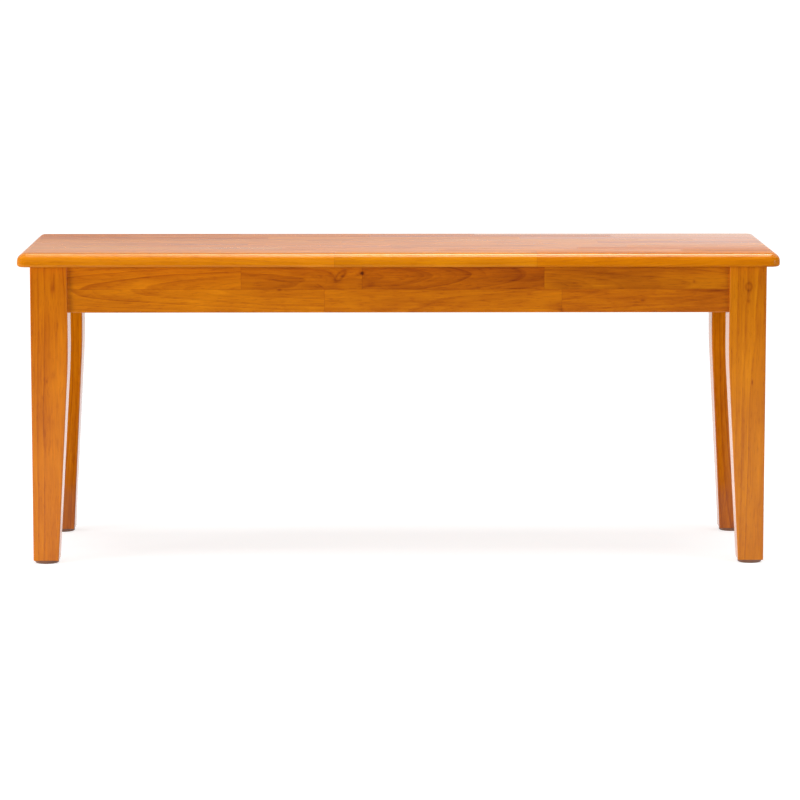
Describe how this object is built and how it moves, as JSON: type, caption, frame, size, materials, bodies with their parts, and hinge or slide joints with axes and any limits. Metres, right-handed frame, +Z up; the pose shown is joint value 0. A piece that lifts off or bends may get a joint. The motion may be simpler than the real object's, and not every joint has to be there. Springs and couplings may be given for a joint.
{
  "type": "shaker bench",
  "caption": "Backless hardwood bench with a long plank seat on square legs that taper on their inner faces, with straight aprons under the seat.",
  "frame": {"origin": "on the floor, under the middle of the seat", "axes": "+X along the seat to the sitter's left, -Y to the front, +Z up"},
  "size_m": [1.104, 0.355, 0.457],
  "materials": {
    "seat_wood": "glossy clear lacquer",
    "apron_wood": "glossy clear lacquer",
    "leg_wood": "glossy clear lacquer",
    "block_wood": "planed, thin sealer",
    "dowel_wood": "bare beech",
    "bolt_steel": "zinc plated",
    "washer_steel": "zinc plated",
    "insert_zinc": "cast zinc",
    "screw_steel": "yellow zinc plated",
    "glide_plastic": "moulded nylon",
    "nail_steel": "bright steel"
  },
  "bodies": {
    "root": {"apron_dowels": "dowel_wood", "apron_screws": "screw_steel", "block_seat_screws": "screw_steel", "brace_screws": "screw_steel", "button_screws": "screw_steel", "centre_brace": "block_wood", "flat_washers": "washer_steel", "front_apron_lower_strip": "apron_wood", "front_apron_upper_strip": "apron_wood", "front_left_corner_block": "block_wood", "front_left_foot_glide": "glide_plastic", "front_left_leg": "leg_wood", "front_right_corner_block": "block_wood", "front_right_foot_glide": "glide_plastic", "front_right_leg": "leg_wood", "glide_nails": "nail_steel", "left_apron_lower_strip": "apron_wood", "left_apron_upper_strip": "apron_wood", "leg_bolts": "bolt_steel", "rear_apron_lower_strip": "apron_wood", "rear_apron_upper_strip": "apron_wood", "rear_left_corner_block": "block_wood", "rear_left_foot_glide": "glide_plastic", "rear_left_leg": "leg_wood", "rear_right_corner_block": "block_wood", "rear_right_foot_glide": "glide_plastic", "rear_right_leg": "leg_wood", "right_apron_lower_strip": "apron_wood", "right_apron_upper_strip": "apron_wood", "seat_buttons": "block_wood", "seat_strip_01": "seat_wood", "seat_strip_02": "seat_wood", "seat_strip_03": "seat_wood", "seat_strip_04": "seat_wood", "seat_strip_05": "seat_wood", "seat_strip_06": "seat_wood", "seat_strip_07": "seat_wood", "seat_strip_08": "seat_wood", "seat_strip_09": "seat_wood", "seat_strip_10": "seat_wood", "spring_washers": "washer_steel", "threaded_inserts": "insert_zinc"}
  },
  "joints": []
}
